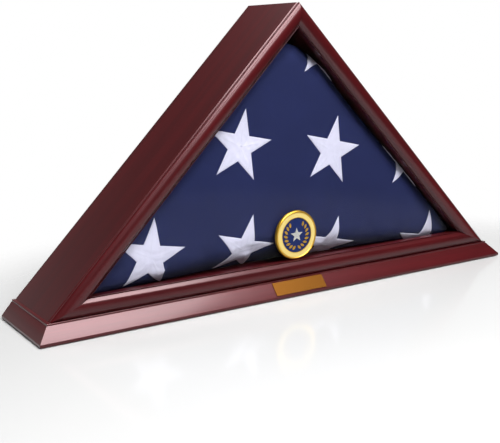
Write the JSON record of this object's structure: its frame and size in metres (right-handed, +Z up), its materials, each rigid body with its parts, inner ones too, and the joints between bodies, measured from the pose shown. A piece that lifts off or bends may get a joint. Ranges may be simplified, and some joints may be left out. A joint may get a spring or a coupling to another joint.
{
  "type": "folded flag display case",
  "caption": "Triangular glazed wooden display case on a moulded base, holding a folded flag, with a lift-out back panel, a round medallion and a blank name plate.",
  "frame": {"origin": "on the standing surface, under the centre of the bounding box", "axes": "+X along the case to the viewer's right, +Y from the glass towards the back panel, +Z up"},
  "size_m": [0.682, 0.128, 0.351],
  "materials": {
    "mahogany": "gloss mahogany lacquer",
    "core_wood": "unfinished board",
    "glass": "clear polished",
    "back_panel": "dark stained board",
    "lining_felt": "napped felt",
    "button_brass": "satin",
    "fixings": "zinc plated",
    "foot_felt": "dense felt",
    "flag_cotton": "woven cotton",
    "medallion_gilt": "polished gilt",
    "cream_enamel": "gloss enamel",
    "blue_enamel": "gloss enamel",
    "emblem_silver": "polished nickel",
    "wreath_gilt": "polished gilt",
    "plate_brass": "brushed and lacquered",
    "adhesive_foam": "foam adhesive"
  },
  "bodies": {
    "case": {"left_side_board": "mahogany", "right_side_board": "mahogany", "bottom_board": "mahogany", "front_left_rail": "mahogany", "front_right_rail": "mahogany", "front_bottom_rail": "mahogany", "rail_v_nails": "fixings", "glass_pane": "glass", "glass_stop_left": "mahogany", "glass_stop_right": "mahogany", "glass_stop_bottom": "mahogany", "glass_stop_brads": "fixings", "turn_button_screws": "fixings", "base_front_moulding": "mahogany", "base_left_moulding": "mahogany", "base_right_moulding": "mahogany", "base_back_rail": "mahogany", "base_core_board": "core_wood", "base_screws": "fixings", "felt_feet": "foot_felt", "medallion_body": "medallion_gilt", "medallion_ring": "cream_enamel", "medallion_enamel": "blue_enamel", "medallion_star": "emblem_silver", "medallion_wreath": "wreath_gilt", "medallion_pad": "adhesive_foam", "name_plate": "plate_brass", "name_plate_tape": "adhesive_foam"},
    "rear_panel": {"back_panel": "back_panel", "panel_lining": "lining_felt"},
    "flag": {"folded_flag": "flag_cotton"},
    "button_left_low": {"turn_button_left_low": "button_brass"},
    "button_left_high": {"turn_button_left_high": "button_brass"},
    "button_right_high": {"turn_button_right_high": "button_brass"},
    "button_right_low": {"turn_button_right_low": "button_brass"},
    "button_bottom_right": {"turn_button_bottom_right": "button_brass"},
    "button_bottom_left": {"turn_button_bottom_left": "button_brass"}
  },
  "joints": [
    {"name": "panel_lift_out", "type": "slide", "parent": "case", "child": "rear_panel", "axis": [0, 1, 0], "range_m": [0, 0.24]},
    {"name": "flag_lift_out", "type": "slide", "parent": "case", "child": "flag", "axis": [0, 1, 0], "range_m": [0, 0.12]},
    {"name": "button_left_low_turn", "type": "hinge", "parent": "case", "child": "button_left_low", "pos_m": [-0.22885, 0.0618, 0.11149], "axis": [0, 1, 0], "range_deg": [-90, 0]},
    {"name": "button_left_high_turn", "type": "hinge", "parent": "case", "child": "button_left_high", "pos_m": [-0.08873, 0.0618, 0.2542], "axis": [0, 1, 0], "range_deg": [-90, 0]},
    {"name": "button_right_high_turn", "type": "hinge", "parent": "case", "child": "button_right_high", "pos_m": [0.08873, 0.0618, 0.2542], "axis": [0, 1, 0], "range_deg": [-90, 0]},
    {"name": "button_right_low_turn", "type": "hinge", "parent": "case", "child": "button_right_low", "pos_m": [0.22885, 0.0618, 0.11149], "axis": [0, 1, 0], "range_deg": [-90, 0]},
    {"name": "button_bottom_right_turn", "type": "hinge", "parent": "case", "child": "button_bottom_right", "pos_m": [0.15, 0.0618, 0.0255], "axis": [0, 1, 0], "range_deg": [-90, 0]},
    {"name": "button_bottom_left_turn", "type": "hinge", "parent": "case", "child": "button_bottom_left", "pos_m": [-0.15, 0.0618, 0.0255], "axis": [0, 1, 0], "range_deg": [-90, 0]}
  ],
  "couplings": [
    {"joint": "flag_lift_out", "follows": "panel_lift_out", "ratio": 0.5}
  ]
}
